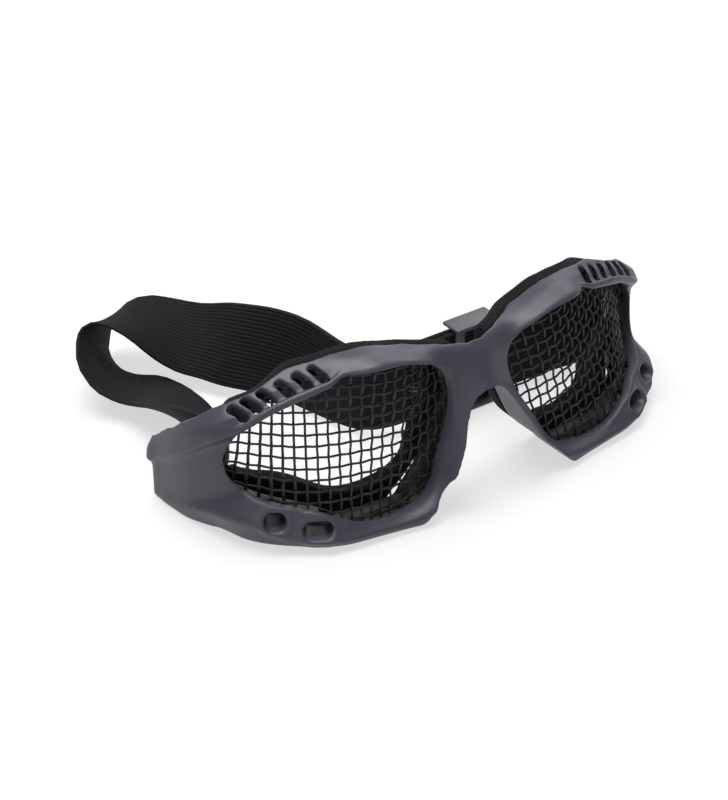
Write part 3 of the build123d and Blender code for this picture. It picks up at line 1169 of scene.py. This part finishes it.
    def sewn_lead(self) -> tuple[np.ndarray, np.ndarray]:
        """Gives the end that goes round the right post, from behind it to the loop's start.

        Returns:
            Places on its middle line, and the way across the band at each.
        """
        centre = np.array([-self.post_across, self.post_back, self.middle_height])
        turns = np.radians(np.arange(115, 361, 6.0))
        places = centre + self.loop_radius * np.stack([np.cos(turns), np.sin(turns), 0 * turns], 1)
        return places, np.tile((0.0, 0.0, -self.width), (len(places), 1))

    def run_and_tail(self) -> np.ndarray:
        """Gives the run behind the bridge, the turn round the left post, and the tail.

        Returns:
            Places on its middle line.
        """
        rear, fore = self.post_back + self.layer_gap, self.post_back - self.layer_gap
        high = self.middle_height
        run = [(across * MM, rear, high) for across in (4, 12, 20, 28, 36, 44)]
        run += [(52 * MM, rear + 0.5 * MM, high), (60 * MM, rear + 1.3 * MM, high)]
        turns = np.radians(np.arange(90, -91, -6.0))
        run += [
            (
                self.post_across + self.loop_radius * math.cos(turn),
                self.post_back + self.loop_radius * math.sin(turn), high,
            ) for turn in turns
        ]
        run += [(60 * MM, fore - 1.3 * MM, high), (52 * MM, fore - 0.5 * MM, high)]
        run += [(across * MM, fore, high) for across in (44, 36, 28, 20, 12)] + [(self.tail_end, fore, high)]
        return np.array(run)

    def band(self, name: str, route: tuple[np.ndarray, np.ndarray]) -> Any:
        """Models a flat band along a route, with rounded bound edges and a map in metres.

        Args:
            name: the band's name.
            route: its middle line and the way across it at each place.

        Returns:
            The band.
        """
        middle, across = route
        piece = tube(name, self.section_points, len(middle))
        ring, turn = rings_of(piece)
        side, depth = self.section(turn)
        heading = np.gradient(middle, axis=0)
        heading /= np.linalg.norm(heading, axis=1)[:, None]
        face = np.cross(heading, across)
        face /= np.linalg.norm(face, axis=1)[:, None]
        place(piece, middle[ring] + across[ring] * side[:, None] + face[ring] * depth[:, None])
        layer = piece.data.uv_layers.new(name="band")
        spot = np.empty(len(piece.data.loops), np.int32)
        piece.data.loops.foreach_get("vertex_index", spot)
        spread = np.stack([ring[spot] * self.step, side[spot]], 1)
        layer.data.foreach_set("uv", spread.astype(np.float32).ravel())
        outward(piece)
        return piece

    def section(self, turn: np.ndarray) -> tuple[np.ndarray, np.ndarray]:
        """Gives the band's section: flat faces, full rounded edges and a shallow dip beside them.

        Args:
            turn: the angle round the section of each point.

        Returns:
            The distance across the band and through it, for each point.
        """
        cosine, sine = np.cos(turn), np.sin(turn)
        across = np.sign(cosine) * np.abs(cosine) ** 0.55
        through = np.sign(sine) * np.minimum(1, np.abs(sine) * 1.9) ** 0.6
        bead = 1 - 0.16 * np.exp(-((np.abs(across) - 0.86) / 0.05) ** 2)
        return across * self.width / 2, through * bead * self.thickness / 2


@dataclass
class Slider:
    """The strap's sliding adjuster: a moulded ladder of rails and bars with eased edges."""

    node: Any
    finish: Any
    rounding: float = 0.45 * MM

    def build(self) -> Any:
        """Builds the slider.

        Returns:
            The finished piece.
        """
        piece = merged_copy(self.node, "strap_slider")
        pick(piece)
        bpy.ops.object.mode_set(mode="EDIT")
        bpy.ops.mesh.select_all(action="SELECT")
        bpy.ops.mesh.dissolve_limited(angle_limit=math.radians(2))
        bpy.ops.object.mode_set(mode="OBJECT")
        apply_modifier(
            piece, "BEVEL", width=self.rounding, segments=3, limit_method="ANGLE",
            angle_limit=math.radians(40), harden_normals=False,
        )
        shade(piece, 40)
        dress(piece, self.finish)
        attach(piece, "slider")
        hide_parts("slider")
        return piece


@dataclass
class Studio:
    """The table, the light and the camera."""

    centre: tuple[float, float, float] = (-0.36261, -0.49762, 0.37751)
    right: tuple[float, float, float] = (0.80766, -0.58965, 0.0)
    upward: tuple[float, float, float] = (0.30911, 0.42338, 0.85159)
    backward: tuple[float, float, float] = (-0.50214, -0.68779, 0.52421)
    lens: float = 112.5
    sensor: float = 36.0
    table_size: float = 6.0

    def build(self) -> None:
        """Builds the whole studio."""
        self.table()
        self.sky()
        self.lamp("key", (-0.15, 0.25, 1.3), 1.0, 22.0)
        self.lamp("fill", (-0.9, -1.2, 0.8), 1.2, 2.6)
        self.lamp("rim", (0.9, 0.6, 0.8), 0.9, 5.0)
        self.camera()

    def table(self) -> None:
        """Builds the pale table."""
        deselect()
        bpy.ops.mesh.primitive_grid_add(x_subdivisions=4, y_subdivisions=4, size=self.table_size)
        top = named("table_top")
        top.data.materials.append(PaleTable().build())

    def sky(self) -> None:
        """Lights the room evenly, and shows white to the camera."""
        world = bpy.data.worlds.new("soft_room")
        bpy.context.scene.world = world
        world.use_nodes = True
        tree = world.node_tree
        tree.nodes.clear()
        path = add_node(tree, "ShaderNodeLightPath")
        white = add_node(tree, "ShaderNodeBackground", {"Color": (1, 1, 1, 1), "Strength": 1.0})
        room = add_node(tree, "ShaderNodeBackground", {"Color": linear("#e8ebf2"), "Strength": 0.31})
        both = add_node(tree, "ShaderNodeMixShader", {
            0: path.outputs["Is Camera Ray"], 1: room.outputs[0], 2: white.outputs[0],
        })
        add_node(tree, "ShaderNodeOutputWorld", {"Surface": both.outputs[0]})

    def lamp(self, name: str, spot: tuple[float, float, float], size: float, power: float) -> None:
        """Adds one soft box that looks at the goggles.

        Args:
            name: the lamp's name.
            spot: its place.
            size: its width in metres.
            power: its power in watts.
        """
        data = bpy.data.lights.new(name, "AREA")
        data.size, data.energy = size, power
        lamp = bpy.data.objects.new(name, data)
        lamp.location = spot
        lamp.rotation_euler = (-Vector(spot)).to_track_quat("-Z", "Y").to_euler()
        bpy.context.scene.collection.objects.link(lamp)

    def camera(self) -> None:
        """Sets the camera at the photograph's place."""
        data = bpy.data.cameras.new("camera")
        data.sensor_fit = "VERTICAL"
        data.sensor_height = self.sensor
        data.lens = self.lens
        data.clip_start = 0.01
        camera = bpy.data.objects.new("camera", data)
        turn = Matrix((self.right, self.upward, self.backward)).transposed()
        camera.matrix_world = Matrix.Translation(self.centre) @ turn.to_4x4()
        bpy.context.scene.collection.objects.link(camera)
        bpy.context.scene.camera = camera


def main() -> None:
    """Builds the goggles piece by piece, then the studio round them."""
    logging.basicConfig(level=logging.INFO, format="%(name)s: %(message)s")
    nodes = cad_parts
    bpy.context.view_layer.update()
    frame_plastic = MouldedThermoplastic("moulded_thermoplastic_blue_grey", "#3a3a44", "#43434e").build()
    slider_plastic = MouldedThermoplastic(
        "moulded_thermoplastic_grey", "#4a4a4f", "#56565c", roughness=0.4,
    ).build()
    wire, foam, webbing = CoatedWire().build(), OpenCellFoam().build(), ElasticWebbing().build()
    thread = MouldedThermoplastic("polyester_thread", "#8d8d92", "#a5a5a8", roughness=0.8).build()
    strap = ElasticStrap(webbing, thread)
    builders = [
        MouldedFrame(
            nodes["frame"], (nodes["lens_mesh_left"], nodes["lens_mesh_right"]), frame_plastic,
        ).build,
        WovenLens(nodes["lens_mesh_left"], Side.LEFT, wire, skew=(-0.17, 0.17)).build,
        WovenLens(nodes["lens_mesh_right"], Side.RIGHT, wire, skew=(-0.17, 0.03)).build,
        FoamLiner(nodes["foam_left"], Side.LEFT, foam).build,
        FoamLiner(nodes["foam_right"], Side.RIGHT, foam).build,
        strap.build,
        strap.threads,
        Slider(nodes["slider"], slider_plastic).build,
    ]
    for build in builders:
        piece = build()
        LOG.info("%s: %d faces", piece.name, len(piece.data.polygons))
    Studio().build()
    bpy.context.scene.view_settings.view_transform = "Standard"


if __name__ == "__main__":
    main()
